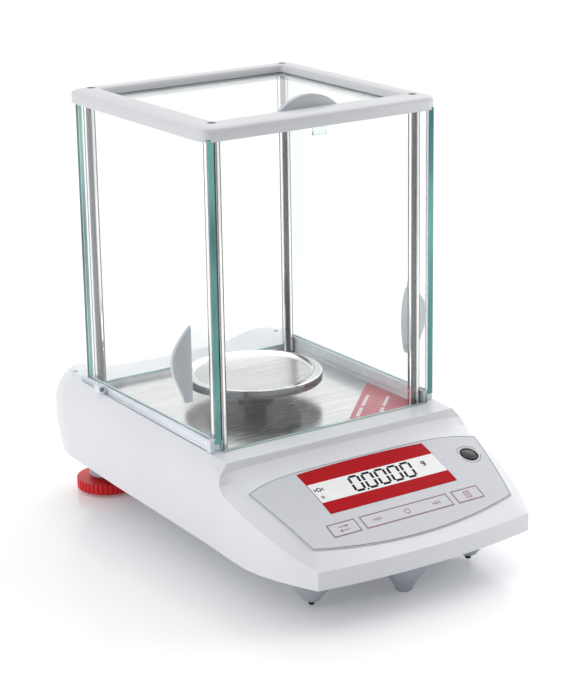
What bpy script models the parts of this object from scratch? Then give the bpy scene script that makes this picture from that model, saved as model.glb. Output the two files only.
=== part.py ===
"""Analytical balance with a glass draft shield, modelled in metres with +Z up.

The origin is on the table under the middle of the object. +X is to the right as
seen from the front, +Y points to the rear, and the display faces -Y.
Sizes below are in millimetres and are scaled to metres by MM where they are used.
"""

import math

import bmesh
import bpy
from mathutils import Vector

MM = 0.001
GAP = 0.3

# Whole object
BODY_HALF_LENGTH = 160.0
CHAMBER_Y = 34.3
SHIELD_HALF = 87.0
SHIELD_LESS_DEEP = 1.7
SHIELD_TOP = 287.0
FRAME_BOTTOM = 277.7

# Upper housing, plan view
REAR_HALF_WIDTH = 98.0
REAR_CORNER_R = 33.0
SIDE_JOIN = (95.5, -84.0)
SIDE_STRAIGHT_Y = 60.0
SIDE_SWEEP_R = 160.0
FRONT_CORNER = (80.0, -153.0)

# Upper housing, heights
DECK_Z = 83.0
SHOULDER_RISE = 5.2
SHOULDER_R = 24.5
SHOULDER_DROP = 19.0
REAR_DIP_Z = 80.2
REAR_DIP_HALF = (33.0, 79.0)
FRONT_CREASE_Z = 38.8
LEDGE_Y = -66.6
LEDGE_Z = 82.4
COVE_END = (-79.3, 64.4)
COVE_CENTRE_Z = 64.0
WALL = 3.0
CAVITY_PROFILE = (
    (-170.0, -20.0),
    (170.0, -20.0),
    (170.0, 75.5),
    (-62.0, 75.5),
    (-70.0, 66.0),
    (-79.3, 60.4),
    (-100.0, 53.9),
    (-125.0, 45.2),
    (-145.0, 37.6),
    (-170.0, 33.0),
)

# Control panel: a shallow arc in side view
PANEL_R = 382.0
PANEL_ARC_Y = 30.4
PANEL_ARC_Z = -292.7
PANEL_SHEET = 0.7
PANEL_REAR = (86.7, -89.7)
PANEL_REAR_MIDDLE_Y = -81.0
PANEL_FRONT = (75.3, -141.5)
PANEL_FRONT_MIDDLE_Y = -150.0

# Weighing chamber
POST_HALF = 74.6
POST_HALF_Y = 73.9
POST_R = 3.8
POST_BOTTOM = 80.6
FLOOR_HALF = 78.2
FLOOR_FRONT_Y = -45.2
FLOOR_Z = 80.3
FLOOR_SHEET = 1.0
GLASS = 4.0
DOOR_INNER = 80.0
DOOR_BOTTOM = 88.7
DOOR_FRONT_Y = -49.6
DOOR_REAR_Y = 113.6
PANE_TOP = 278.9
FRONT_PANE_Y = -48.0
FRONT_PANE_HALF = 79.3
REAR_PANE_Y = 114.8
REAR_PANE_HALF = 78.0
RAIL_REAR_Y = 118.5
TOP_GLASS_HALF = 71.9
TOP_GLASS_Z = (279.2, 281.9)
TOP_GLASS_Y = (-43.8, 109.0)
HANDLE_Y = -23.4
HANDLE_Z = 110.0
TOP_HANDLE_Y = -31.0
HANDLE_LENGTH = 49.6
HANDLE_HEIGHT = 12.4
HANDLE_SHEET = 3.2

# Pan and load receptor
PAN_Y = 36.5
PAN_R = 45.0
PAN_TOP = 99.2

# Feet
WHEEL_AT = (62.0, 131.0)
WHEEL_R = 21.8
WHEEL_RIBS = 40
FRONT_FOOT_AT = (0.0, -130.0)
PIN_AT = (60.5, -117.3)
TRAY_Z = 12.0

# Lower housing: (side pull, front pull, share of the drop to its floor, lift) levels
TRAY_LEVELS = (
    (7.8, 3.9, 0.0, 3.0),
    (7.8, 3.9, 0.0, -0.6),
    (14.5, 14.0, 0.42, 0.0),
    (23.0, 26.0, 0.8, 0.0),
    (31.0, 40.0, 1.0, 0.0),
)
HOUSING_CAVITY_LEVELS = ((7.5, 3.6, 0.0, -45.0), (7.5, 3.6, 0.0, 70.0))
TRAY_CAVITY_LEVELS = (
    (9.8, 5.9, 0.0, 40.0),
    (10.2, 6.3, 0.0, 0.4),
    (17.0, 17.0, 0.42, 2.0),
    (33.0, 43.0, 1.0, 2.5),
)


def mm(*values):
    """The values in metres, as a vector."""
    return Vector([value * MM for value in values])


def mirrored(at, side=1):
    """A floor position in millimetres, mirrored to the left when side is -1."""
    return (side * at[0], at[1], 0.0)


def smoothstep(value):
    value = min(max(value, 0.0), 1.0)
    return value * value * (3.0 - 2.0 * value)


def between(start, end, share):
    return start + (end - start) * share


# ---------------------------------------------------------------- scene helpers


def clear_scene():
    for old in list(bpy.data.objects):
        bpy.data.objects.remove(old, do_unlink=True)


def new_collection(name, hidden=False):
    collection = bpy.data.collections.new(name)
    collection.hide_render = hidden
    bpy.context.scene.collection.children.link(collection)
    return collection


def new_material(name, colour, roughness, metallic=0.0, alpha=1.0):
    made = bpy.data.materials.new(name)
    made.use_nodes = True
    shader = made.node_tree.nodes["Principled BSDF"]
    shader.inputs["Base Color"].default_value = (*colour, 1.0)
    shader.inputs["Roughness"].default_value = roughness
    shader.inputs["Metallic"].default_value = metallic
    shader.inputs["Alpha"].default_value = alpha
    return made


def place(name, mesh, look, location=(0.0, 0.0, 0.0)):
    """A visible sub-part at a location in millimetres."""
    made = bpy.data.objects.new(name, mesh)
    made.location = mm(*location)
    made.data.materials.clear()
    made.data.materials.append(look)
    PARTS.objects.link(made)
    return made


def cutter(name, mesh, location=(0.0, 0.0, 0.0)):
    made = bpy.data.objects.new(name, mesh)
    made.location = mm(*location)
    made.hide_render = True
    made.display_type = "WIRE"
    CUTTERS.objects.link(made)
    return made


def boolean(target, tool, operation="DIFFERENCE"):
    step = target.modifiers.new(tool.name, "BOOLEAN")
    step.object = tool
    step.operation = operation
    step.solver = "EXACT"


def bevel(target, width, segments=2, angle=40.0):
    step = target.modifiers.new("rounded_edges", "BEVEL")
    step.width = width * MM
    step.segments = segments
    step.limit_method = "ANGLE"
    step.angle_limit = math.radians(angle)
    step.harden_normals = False


def shade_round(target, angle=35.0):
    target.data.shade_smooth()
    target.data.set_sharp_from_angle(angle=math.radians(angle))


# ---------------------------------------------------------------- mesh makers


def mesh_from(bm, name):
    bmesh.ops.recalc_face_normals(bm, faces=bm.faces)
    mesh = bpy.data.meshes.new(name)
    bm.to_mesh(mesh)
    bm.free()
    return mesh


def box_mesh(name, low, high):
    """A box between two corners in millimetres."""
    bm = bmesh.new()
    bmesh.ops.create_cube(bm, size=1.0)
    size = mm(*[b - a for a, b in zip(low, high)])
    middle = mm(*[(a + b) / 2 for a, b in zip(low, high)])
    for vertex in bm.verts:
        vertex.co = Vector([c * s + m for c, s, m in zip(vertex.co, size, middle)])
    return mesh_from(bm, name)


def cone_mesh(name, bottom_r, top_r, low_z, high_z, sides=32):
    """A cylinder or a cone frustum standing on Z."""
    bm = bmesh.new()
    bmesh.ops.create_cone(
        bm,
        cap_ends=True,
        segments=sides,
        radius1=bottom_r * MM,
        radius2=top_r * MM,
        depth=(high_z - low_z) * MM,
    )
    bmesh.ops.translate(bm, verts=bm.verts, vec=mm(0.0, 0.0, (low_z + high_z) / 2))
    return mesh_from(bm, name)


def turned(name, profile, look, location, steps=48):
    """A body turned round Z from (radius, height) points that run down its outer side."""
    mesh = bpy.data.meshes.new(name)
    points = [mm(radius, 0.0, height) for radius, height in profile]
    edges = [(i, i + 1) for i in range(len(points) - 1)]
    if profile[0][0] > 0.0:
        edges.append((len(points) - 1, 0))
    mesh.from_pydata(points, edges, [])
    made = place(name, mesh, look, location)
    screw = made.modifiers.new("turn", "SCREW")
    screw.axis = "Z"
    screw.steps = steps
    screw.render_steps = steps
    screw.use_merge_vertices = True
    screw.merge_threshold = 0.00001
    screw.use_smooth_shade = True
    return made


def outline_mesh(name, outlines, thickness):
    """A flat plate in XY, centred on Z, from one outer outline and any holes."""
    curve = bpy.data.curves.new(name, "CURVE")
    curve.dimensions = "2D"
    curve.fill_mode = "BOTH"
    curve.extrude = thickness * MM / 2
    for outline in outlines:
        spline = curve.splines.new("POLY")
        spline.points.add(len(outline) - 1)
        for point, (x, y) in zip(spline.points, outline):
            point.co = (x * MM, y * MM, 0.0, 1.0)
        spline.use_cyclic_u = True
    guide = bpy.data.objects.new(name, curve)
    CUTTERS.objects.link(guide)
    bpy.context.view_layer.update()
    evaluated = guide.evaluated_get(bpy.context.evaluated_depsgraph_get())
    mesh = bpy.data.meshes.new_from_object(evaluated)
    bpy.data.objects.remove(guide, do_unlink=True)
    bm = bmesh.new()
    bm.from_mesh(mesh)
    bmesh.ops.remove_doubles(bm, verts=bm.verts, dist=0.000001)
    bmesh.ops.recalc_face_normals(bm, faces=bm.faces)
    bm.to_mesh(mesh)
    bm.free()
    return mesh


def rounded_rectangle(width, height, radius, steps=4, centre=(0.0, 0.0)):
    points = []
    for quarter in range(4):
        start = quarter * math.pi / 2
        corner_x = centre[0] + (width / 2 - radius) * (1 if quarter in (0, 3) else -1)
        corner_y = centre[1] + (height / 2 - radius) * (1 if quarter in (0, 1) else -1)
        for step in range(steps + 1):
            angle = start + step * math.pi / 2 / steps
            points.append(
                (corner_x + radius * math.cos(angle), corner_y + radius * math.sin(angle))
            )
    return points


def circle(radius, centre=(0.0, 0.0), sides=32):
    turns = [2 * math.pi * i / sides for i in range(sides)]
    return [
        (centre[0] + radius * math.cos(t), centre[1] + radius * math.sin(t)) for t in turns
    ]


def loft_mesh(name, rings, closed):
    """Skins rings of equal length in order. A closed loft joins the last ring to the first."""
    bm = bmesh.new()
    rows = [[bm.verts.new(point) for point in ring] for ring in rings]
    pairs = list(zip(rows, rows[1:]))
    if closed:
        pairs.append((rows[-1], rows[0]))
    for lower, upper in pairs:
        for i in range(len(lower)):
            j = (i + 1) % len(lower)
            bm.faces.new((lower[i], lower[j], upper[j], upper[i]))
    if not closed:
        bm.faces.new(rows[0])
        bm.faces.new(rows[-1])
    return mesh_from(bm, name)


# ---------------------------------------------------------------- housing form


def panel_z(y):
    """Height of the control panel's sheet at a given y."""
    reach = PANEL_ARC_Y - y
    return PANEL_ARC_Z + math.sqrt(PANEL_R**2 - reach**2)


def panel_tilt(y):
    """Angle of the control panel's surface from level at a given y."""
    return math.asin((PANEL_ARC_Y - y) / PANEL_R)


def side_station(y):
    """Point on the plan outline's right side, with its outward normal."""
    if y < SIDE_JOIN[1]:
        sine = (SIDE_JOIN[1] - y) / SIDE_SWEEP_R
        cosine = math.sqrt(1 - sine**2)
        return SIDE_JOIN[0] - SIDE_SWEEP_R * (1 - cosine), y, cosine, -sine
    share = min((y - SIDE_JOIN[1]) / (SIDE_STRAIGHT_Y - SIDE_JOIN[1]), 1.0)
    return between(SIDE_JOIN[0], REAR_HALF_WIDTH, share), y, 1.0, 0.0


def front_station(x):
    """Point on the plan outline's slightly bowed front, with its outward normal."""
    bow = BODY_HALF_LENGTH + FRONT_CORNER[1]
    radius = (FRONT_CORNER[0] ** 2 + bow**2) / (2 * bow)
    sine = x / radius
    cosine = math.sqrt(1 - sine**2)
    return x, -BODY_HALF_LENGTH + radius * (1 - cosine), sine, -cosine


def rear_station(column):
    """Point on the plan outline's rear and rounded rear corner, with its normal."""
    flat = REAR_HALF_WIDTH - REAR_CORNER_R
    if column <= 4:
        return (0.0, 22.0, 40.0, 51.0, flat)[column], BODY_HALF_LENGTH, 0.0, 1.0
    angle = math.radians(90.0 * (8 - column) / 4)
    nx = math.cos(angle)
    ny = math.sin(angle)
    return flat + REAR_CORNER_R * nx, BODY_HALF_LENGTH - REAR_CORNER_R * (1 - ny), nx, ny


def shoulder_top(y):
    share = min(max((y + 48.0) / 166.0, 0.0), 1.0)
    return between(DECK_Z, DECK_Z + SHOULDER_RISE, share)


def bottom_z(y):
    """Height of the upper housing's lower edge."""
    if y < SIDE_JOIN[1]:
        return 24.0 + 3.1 * smoothstep((SIDE_JOIN[1] - y) / 70.0)
    return 24.0 + 9.0 * (y - SIDE_JOIN[1]) / (BODY_HALF_LENGTH - SIDE_JOIN[1])


def side_inset(z, centre_z, low_z, y):
    """How far the side lies inside the plan outline at height z."""
    if z > centre_z:
        return SHOULDER_R - math.sqrt(max(SHOULDER_R**2 - (z - centre_z) ** 2, 0.0))
    taper = 4.0 * smoothstep((y + 150.0) / 120.0)
    return taper * ((centre_z - z) / (centre_z - low_z)) ** 2


def crease_z(y):
    """Height of the edge between the panel's surround and the side."""
    run = COVE_END[0] - y
    return COVE_END[1] - 0.30 * run - 0.0007 * run**2


PANEL_SHARES = (0.0, 0.25, 0.47, 0.65, 0.8, 0.91, 1.0)
DECK_COLUMNS = (0.0, 22.0, 40.0, 51.0, 62.0, 74.0, 82.0, 87.1)
DECK_LIP = 0.7
REAR_STEEPNESS = 2.4
SHOULDER_HOLE_AT = (81.5, 135.5)
CEILING_HALF = 110.0
PANEL_CAVITY_HALF = 72.0
PANEL_ROWS = ((-89.7, -79.3), (-100.0, -94.0), (-111.0, -109.0), (-121.5, -124.0))
PANEL_FRONT_ROWS = ((-132.0, -137.0), (-141.5, -147.0))
DECK_ROWS = (-50.0, 0.0, 60.0, 121.0)
WALL_SHARES = (0.07, 0.17, 0.31, 0.6, 1.0)


def panel_row(edge_y, side_y):
    """Nine points from the middle to the side across the panel and its surround."""
    share = (edge_y - PANEL_REAR[1]) / (PANEL_FRONT[1] - PANEL_REAR[1])
    half = between(PANEL_REAR[0], PANEL_FRONT[0], share**1.1)
    points = []
    for column in PANEL_SHARES:
        rear = between(PANEL_REAR_MIDDLE_Y, PANEL_REAR[1], column**4.5)
        front = between(PANEL_FRONT_MIDDLE_Y, PANEL_FRONT[1], column**2)
        y = between(rear, front, share)
        points.append((column * half, y, panel_z(y) - PANEL_SHEET - GAP))
    edge = panel_edge(side_y, crease_z(side_y))
    middle = [(a + b) / 2 for a, b in zip(points[-1], edge)]
    return points + [tuple(middle), edge]


def panel_edge(y, z):
    x, y, nx, ny = side_station(y)
    inset = side_inset(z, COVE_CENTRE_Z, bottom_z(y), y)
    return x - nx * inset, y - ny * inset, z


def top_rows():
    """Rows of nine points over the top, from the front crease to the rear edge."""
    shares = [share * 0.94 for share in PANEL_SHARES] + [0.97, 1.0]
    stations = [front_station(FRONT_CORNER[0] * share) for share in shares]
    front = [(x, y, FRONT_CREASE_Z) for x, y, _, _ in stations]
    rows = [front]
    panel = [panel_row(*row) for row in PANEL_ROWS + PANEL_FRONT_ROWS]
    rows.append([tuple((a + b) / 2 for a, b in zip(p, q)) for p, q in zip(front, panel[-1])])
    rows[-1][-1] = panel_edge(-150.2, crease_z(-150.2))
    rows += panel[::-1]
    valley = panel[0]
    for step in (3, 2, 1):
        angle = math.radians(90.0 * step / 4)
        row = []
        for column in range(8):
            start = deck_row(LEDGE_Y, LEDGE_Z, LEDGE_Z)[column]
            end = valley[column]
            y = between(start[1], end[1], 1 - math.cos(angle))
            z = between(start[2], end[2], math.sin(angle))
            row.append((between(start[0], end[0], math.sin(angle)), y, z))
        run = LEDGE_Y - (LEDGE_Y - COVE_END[0]) * (1 - math.cos(angle))
        row.append(panel_edge(run, between(LEDGE_Z, COVE_END[1], math.sin(angle))))
        rows.append(row)
    rows.append(deck_row(LEDGE_Y, LEDGE_Z, LEDGE_Z))
    rows += [deck_row(y, DECK_Z, shoulder_top(y)) for y in DECK_ROWS]
    rows.append(rear_row(0.35))
    rows.append(rear_row(1.0))
    return rows


def deck_row(y, z, edge_z):
    """Nine points across the deck. The last flat one stays inside the rounded shoulder."""
    edge = deck_edge(y, edge_z)
    return [(min(x, edge[0] - DECK_LIP), y, z) for x in DECK_COLUMNS] + [edge]


def deck_edge(y, z):
    x, y, nx, ny = side_station(y)
    inset = side_inset(z, z - SHOULDER_DROP, bottom_z(y), y)
    return x - nx * inset, y - ny * inset, z


def rear_height(x):
    start, end = REAR_DIP_HALF
    share = smoothstep((x - start) / (end - start))
    return between(REAR_DIP_Z, DECK_Z + SHOULDER_RISE, share)


def rear_row(share):
    """A row between the deck's last straight row and the rear edge."""
    row = []
    for column in range(9):
        x, y, nx, ny = rear_station(column)
        z = rear_height(x)
        inset = side_inset(z, z - SHOULDER_DROP, bottom_z(y), y)
        end = (x - nx * inset, y - ny * inset, z)
        start_x = (DECK_COLUMNS + (end[0],))[column]
        height = between(DECK_Z, z, min(share * REAR_STEEPNESS, 1.0))
        point = (between(start_x, end[0], share), between(DECK_ROWS[-1], end[1], share), height)
        row.append(point)
    if share < 1.0:
        row[-1] = deck_edge(122.5, shoulder_top(122.5))
        row[-2] = (DECK_COLUMNS[7], 125.0, DECK_Z + 2.2)
    return row


def ring_of(rows, mirror_index):
    """The closed boundary of the rows as (row, column, sign) keys, counter-clockwise."""
    last = len(rows) - 1
    keys = [(0, c, -1) for c in range(mirror_index, 0, -1)]
    keys += [(0, c, 1) for c in range(mirror_index + 1)]
    keys += [(r, mirror_index, 1) for r in range(1, last)]
    keys += [(last, c, 1) for c in range(mirror_index, -1, -1)]
    keys += [(last, c, -1) for c in range(1, mirror_index + 1)]
    keys += [(r, mirror_index, -1) for r in range(last - 1, 0, -1)]
    return keys


def wall_station(rows, key):
    """Plan outline point, normal and shoulder centre height under a boundary point."""
    row, column, _ = key
    x, y, z = rows[row][column]
    last = len(rows) - 1
    if row == 0 and column < 8:
        return (*front_station(x), FRONT_CREASE_Z)
    if row == last:
        return (*rear_station(column), z - SHOULDER_DROP)
    if y < LEDGE_Y:
        return (*side_station(y), COVE_CENTRE_Z)
    return (*side_station(y), z - SHOULDER_DROP)


def housing_mesh(name):
    """The upper housing's outer form: its top grid, its walls and a flat base."""
    rows = top_rows()
    bm = bmesh.new()
    verts = {}
    for r, row in enumerate(rows):
        for c, (x, y, z) in enumerate(row):
            for sign in (1, -1) if c else (1,):
                verts[(r, c, sign)] = bm.verts.new(mm(sign * x, y, z))
        verts[(r, 0, -1)] = verts[(r, 0, 1)]
    for r in range(len(rows) - 1):
        for c in range(8):
            for sign in (1, -1):
                corners = ((r, c), (r, c + 1), (r + 1, c + 1), (r + 1, c))
                bm.faces.new([verts[(*corner, sign)] for corner in corners])
    keys = ring_of(rows, 8)
    rings = [[verts[key] for key in keys]]
    for share in WALL_SHARES:
        ring = []
        for key in keys:
            x, y, nx, ny, centre = wall_station(rows, key)
            row, column, sign = key
            low = bottom_z(y)
            z = between(rows[row][column][2], low, share)
            side = side_inset(z, centre, low, y) if row else 0.0
            ring.append(bm.verts.new(mm(sign * (x - nx * side), y - ny * side, z)))
        rings.append(ring)
    for upper, lower in zip(rings, rings[1:]):
        for i in range(len(upper)):
            j = (i + 1) % len(upper)
            bm.faces.new((upper[i], upper[j], lower[j], lower[i]))
    bm.faces.new(rings[-1])
    return mesh_from(bm, name)


def tray_ring(side_pull, front_pull, height):
    """The plan outline pulled inwards, at a height given as a function of y."""
    rows = top_rows()
    ring = []
    for key in ring_of(rows, 8):
        x, y, nx, ny, _ = wall_station(rows, key)
        z = height(y)
        if key[0] == 0:
            x *= 1 - front_pull / FRONT_CORNER[0]
            y += front_pull
        elif y < 0.0:
            share = smoothstep((-y - 70.0) / 75.0)
            x -= between(side_pull, front_pull, share)
            y += front_pull * share
        else:
            x -= nx * side_pull
            y -= ny * side_pull
        ring.append(mm(key[2] * x, y, z))
    return ring


def tray_mesh(name, levels):
    """A tray from (side pull, front pull, drop) levels. Drop 0 is the housing's edge, 1 the floor."""
    rings = []
    for side_pull, front_pull, drop, lift in levels:
        rings.append(
            tray_ring(side_pull, front_pull, lambda y: between(bottom_z(y), TRAY_Z, drop) + lift)
        )
    return loft_mesh(name, rings, False)


# ---------------------------------------------------------------- housings


def side_prism(name, profile, half):
    """A prism across the object from a side view outline of (y, z) points."""
    return loft_mesh(name, [[mm(x, y, z) for y, z in profile] for x in (-half, half)], False)


def panel_cavity_profile(steps=6):
    """Room for the display and its board: its ceiling follows the panel."""
    profile = [(-84.0, 20.0), (-140.5, 20.0)]
    for i in range(steps + 1):
        y = between(-140.5, -84.0, i / steps)
        profile.append((y, panel_z(y) - PANEL_SHEET - GAP - WALL))
    return profile


def upper_housing():
    body = place("upper_housing", housing_mesh("upper_housing"), HOUSING)
    plan = tray_mesh("housing_cavity", HOUSING_CAVITY_LEVELS)
    cavity = cutter("housing_cavity", plan)
    ceiling = side_prism("cavity_ceiling", CAVITY_PROFILE, CEILING_HALF)
    boolean(cavity, cutter("cavity_ceiling", ceiling), "INTERSECT")
    boolean(body, cavity)
    room = side_prism("panel_cavity", panel_cavity_profile(), PANEL_CAVITY_HALF)
    boolean(body, cutter("panel_cavity", room))
    pocket_low = (-FLOOR_HALF - GAP, FLOOR_FRONT_Y - 0.4, FLOOR_Z - FLOOR_SHEET - GAP)
    pocket_high = (FLOOR_HALF + GAP, REAR_PANE_Y - GLASS / 2 - GAP, DECK_Z + 10.0)
    boolean(body, cutter("floor_pocket", box_mesh("floor_pocket", pocket_low, pocket_high)))
    hole = cone_mesh("spindle_hole", 9.0, 9.0, 60.0, 90.0)
    boolean(body, cutter("spindle_hole", hole, (0.0, PAN_Y, 0.0)))
    for name, outlines in panel_openings().items():
        boolean(body, cutter(f"{name}_hole", panel_prism(f"{name}_hole", outlines)))
    data = box_mesh("data_port_hole", (-36.4, 150.0, 46.4), (-4.6, 170.0, 59.6))
    boolean(body, cutter("data_port_hole", data))
    power = box_mesh("power_jack_hole", (21.7, 150.0, 46.7), (34.3, 170.0, 59.3))
    boolean(body, cutter("power_jack_hole", power))
    for side in (-1, 1):
        dimple = cone_mesh("shoulder_hole", 1.6, 1.6, 80.5, 96.0, 16)
        tool = cutter(f"shoulder_hole_{side}", dimple, mirrored(SHOULDER_HOLE_AT, side))
        boolean(body, tool)
    shade_round(body, 30.0)


def lower_housing():
    outer = tray_mesh("lower_housing", TRAY_LEVELS)
    body = place("lower_housing", outer, TRAY)
    for side in (-1, 1):
        leg = cone_mesh("pin_leg", 5.5, 20.0, 4.6, 24.0, 24)
        boolean(body, cutter(f"pin_leg_{side}", leg, mirrored(PIN_AT, side)), "UNION")
    boss = cone_mesh("front_boss", 12.5, 18.0, TRAY_Z, 24.0, 32)
    boolean(body, cutter("front_boss", boss, mirrored(FRONT_FOOT_AT)), "UNION")
    inner = tray_mesh("tray_cavity", TRAY_CAVITY_LEVELS)
    boolean(body, cutter("tray_cavity", inner))
    for side in (-1, 1):
        boss = cone_mesh("rear_boss", 13.0, 13.6, TRAY_Z - 0.5, 31.0, 32)
        boolean(body, cutter(f"rear_boss_{side}", boss, mirrored(WHEEL_AT, side)), "UNION")
        bore = cone_mesh("stem_bore", 4.4, 4.4, 5.0, 40.0, 24)
        boolean(body, cutter(f"stem_bore_{side}", bore, mirrored(WHEEL_AT, side)))
        socket = cone_mesh("pin_socket", 2.3, 2.3, 0.0, 9.0, 16)
        boolean(body, cutter(f"pin_socket_{side}", socket, mirrored(PIN_AT, side)))
    hook = cone_mesh("hook_hole", 12.4, 12.4, 0.0, 20.0, 32)
    boolean(body, cutter("hook_hole", hook, (0.0, PAN_Y, 0.0)))
    for name, x, y in housing_screw_places():
        hole = cone_mesh(f"{name}_hole", 3.4, 3.4, 5.0, TRAY_Z + 1.6, 16)
        boolean(body, cutter(f"{name}_hole", hole, (x, y, 0.0)))
    shade_round(body, 40.0)


def housing_screw_places():
    places = [("front", -78.0), ("rear", 84.0)]
    return [
        (f"housing_screw_{where}_{side}", x, y)
        for where, y in places
        for side, x in (("left", -58.0), ("right", 58.0))
    ]


def housing_screws():
    for name, x, y in housing_screw_places():
        low = TRAY_Z - 0.2
        profile = ((0.0, low + 1.5), (3.1, low + 1.5), (3.1, low + 0.4), (2.6, low), (0.0, low))
        turned(name, profile, STEEL, (x, y, 0.0), 16)


# ---------------------------------------------------------------- control panel

KEY_Y = (-128.5, -137.8)
KEYS = {"key_unit": (-57.0, -36.9), "key_zero": (-32.9, 32.9), "key_print": (36.9, 57.0)}
WINDOW = ((-48.0, 48.0), (-84.5, -121.0))
LCD = ((-45.5, 45.5), (-91.6, -113.0))
VIAL_AT = (71.5, -103.7)
VIAL_R = 6.6


def rectangle(xs, ys, margin=0.0):
    x0, x1 = min(xs) - margin, max(xs) + margin
    y0, y1 = min(ys) - margin, max(ys) + margin
    return [(x0, y0), (x1, y0), (x1, y1), (x0, y1)]


def window_outline(margin=0.0):
    """The display window: its rear edge is a shallow arc."""
    (x0, x1), (y1, y0) = WINDOW
    steps = 8
    points = [(x0 - margin, y0 - margin), (x1 + margin, y0 - margin)]
    for i in range(steps + 1):
        share = 1 - 2 * i / steps
        points.append((share * (x1 + margin), y1 + margin + 1.6 * (1 - share**2)))
    return points


def panel_openings():
    """Outlines of the holes through the housing's panel wall."""
    holes = {name: rectangle(xs, KEY_Y, 0.4) for name, xs in KEYS.items()}
    holes["lcd"] = rectangle(*LCD, 0.4)
    holes["vial"] = circle(VIAL_R + 2.0, (VIAL_AT[0], VIAL_AT[1] + 1.3), 28)
    return holes


def panel_prism(name, outline):
    """An upright prism through the panel over a flat outline."""
    mesh = outline_mesh(name, [outline], 70.0)
    for vertex in mesh.vertices:
        vertex.co.z += 55.0 * MM
    return mesh


def panel_slab(name, above, below, half=94.0, rear=-78.0, front=-154.0, steps=14):
    """A curved sheet that follows the panel's arc, from below to above its surface."""
    upper, lower = [], []
    for i in range(steps + 1):
        y = between(rear, front, i / steps)
        angle = panel_tilt(y)
        upper.append((y - above * math.sin(angle), panel_z(y) + above * math.cos(angle)))
        lower.append((y - below * math.sin(angle), panel_z(y) + below * math.cos(angle)))
    outline = upper + lower[::-1]
    rings = [[mm(x, y, z) for y, z in outline] for x in (-half, half)]
    return loft_mesh(name, rings, False)


def panel_outline():
    points = []
    steps = 24
    for i in range(steps + 1):
        share = abs(2 * i / steps - 1)
        x = between(-PANEL_REAR[0], PANEL_REAR[0], i / steps)
        points.append((x, between(PANEL_REAR_MIDDLE_Y, PANEL_REAR[1], share**4.5) - 0.3))
    side = [panel_row(edge, -100.0)[6][:2] for edge in (-100.0, -111.0, -121.5, -132.0)]
    points += side
    for i in range(steps + 1):
        share = abs(2 * i / steps - 1)
        x = between(PANEL_FRONT[0], -PANEL_FRONT[0], i / steps)
        points.append((x, between(PANEL_FRONT_MIDDLE_Y, PANEL_FRONT[1], share**2)))
    points += [(-x, y) for x, y in side[::-1]]
    return points[::-1]


def control_panel():
    sheet = place("control_panel", panel_slab("control_panel", 0.0, -PANEL_SHEET), OVERLAY)
    limit = cutter("panel_limit", panel_prism("panel_limit", panel_outline()))
    boolean(sheet, limit, "INTERSECT")
    holes = {f"sheet_{name}": rectangle(xs, KEY_Y, 0.3) for name, xs in KEYS.items()}
    holes["sheet_window"] = window_outline(0.3)
    holes["sheet_vial"] = circle(VIAL_R - 0.4, VIAL_AT, 28)
    for name, outline in holes.items():
        boolean(sheet, cutter(name, panel_prism(name, outline)))
    window = place("display_window", panel_slab("display_window", 0.1, -PANEL_SHEET), WINDOW_LOOK)
    limit = cutter("window_limit", panel_prism("window_limit", window_outline()))
    boolean(window, limit, "INTERSECT")
    for name, xs in KEYS.items():
        key = place(name, panel_slab(name, 0.1, -2.6), OVERLAY)
        limit = cutter(f"{name}_limit", panel_prism(f"{name}_limit", rectangle(xs, KEY_Y)))
        boolean(key, limit, "INTERSECT")


def tilted_box(name, look, size, at, depth):
    """A box lying parallel to the panel, its top at a depth under the panel at y = at[1]."""
    tilt = panel_tilt(at[1])
    top = panel_z(at[1])
    low = (-size[0] / 2, -size[1] / 2, -depth - size[2])
    high = (size[0] / 2, size[1] / 2, -depth)
    made = place(name, box_mesh(name, low, high), look, (at[0], at[1], top))
    made.rotation_euler = (tilt, 0.0, 0.0)
    return made


def display_electronics():
    lcd = tilted_box("lcd_module", LCD_LOOK, (90.4, 18.2, 5.2), (0.0, -103.75), 1.4)
    bevel(lcd, 0.4, 1)
    board = tilted_box("control_board", BOARD, (140.0, 52.0, 1.6), (0.0, -113.0), 9.5)
    notch = cone_mesh("vial_notch", 9.0, 9.0, -20.0, 0.0, 24)
    tool = cutter("vial_notch", notch, (VIAL_AT[0], VIAL_AT[1], panel_z(VIAL_AT[1])))
    boolean(board, tool)


def level_vial():
    tilt = panel_tilt(VIAL_AT[1])
    cup_profile = (
        (VIAL_R, -PANEL_SHEET - GAP),
        (VIAL_R, -7.5),
        (0.0, -7.5),
        (0.0, -6.3),
        (VIAL_R - 1.2, -6.3),
        (VIAL_R - 1.2, -PANEL_SHEET - GAP),
    )
    cup = turned_cup("level_vial_cup", cup_profile, VIAL_LOOK)
    lens_r = VIAL_R - 1.5
    lens_profile = ((0.0, 0.0), (lens_r - 0.8, -0.15), (lens_r, -0.6), (lens_r, -6.0), (0.0, -6.0))
    lens = turned("level_vial_lens", lens_profile, CLEAR, (0.0, 0.0, 0.0), 28)
    for piece in (cup, lens):
        piece.location = mm(VIAL_AT[0], VIAL_AT[1], panel_z(VIAL_AT[1]))
        piece.rotation_euler = (tilt, 0.0, 0.0)


def turned_cup(name, profile, look, steps=28):
    """A turned body whose profile starts and ends off the axis and touches it between."""
    mesh = bpy.data.meshes.new(name)
    points = [mm(radius, 0.0, height) for radius, height in profile]
    on_axis = [i for i, (radius, _) in enumerate(profile) if radius == 0.0]
    edges = [(i, i + 1) for i in range(len(points) - 1) if i != on_axis[0]]
    edges.append((len(points) - 1, 0))
    mesh.from_pydata(points, edges, [])
    made = place(name, mesh, look)
    screw = made.modifiers.new("turn", "SCREW")
    screw.axis = "Z"
    screw.steps = steps
    screw.render_steps = steps
    screw.use_merge_vertices = True
    screw.merge_threshold = 0.00001
    return made


# ---------------------------------------------------------------- draft shield


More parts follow.
